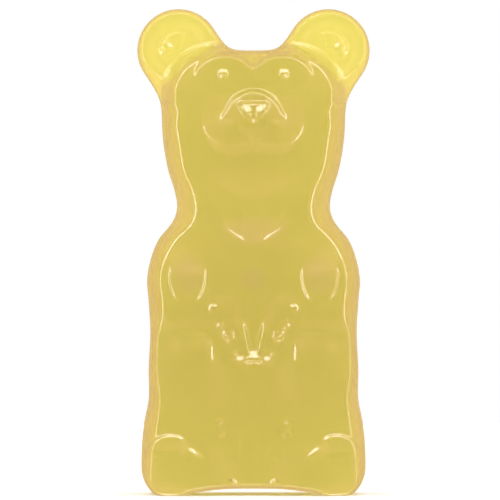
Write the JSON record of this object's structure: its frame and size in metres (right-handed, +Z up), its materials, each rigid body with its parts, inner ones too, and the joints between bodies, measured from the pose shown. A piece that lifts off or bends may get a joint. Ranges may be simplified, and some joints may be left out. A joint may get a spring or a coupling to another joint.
{
  "type": "gummy bear",
  "caption": "Giant novelty gummy bear: a solid, translucent fruit-gel sweet that stands upright on flat soles, with a sculpted front and a flat poured back.",
  "frame": {"origin": "middle of the bounding box's base, on the surface that the soles stand on", "axes": "+Z up from the soles to the ears, -Y the way the face looks, +X the bear's left, which is the viewer's right"},
  "size_m": [0.1156, 0.08, 0.2409],
  "materials": {
    "gel": "glossy, translucent, pale yellow fruit gel"
  },
  "bodies": {
    "root": {"gummy_bear": "gel"}
  },
  "joints": []
}
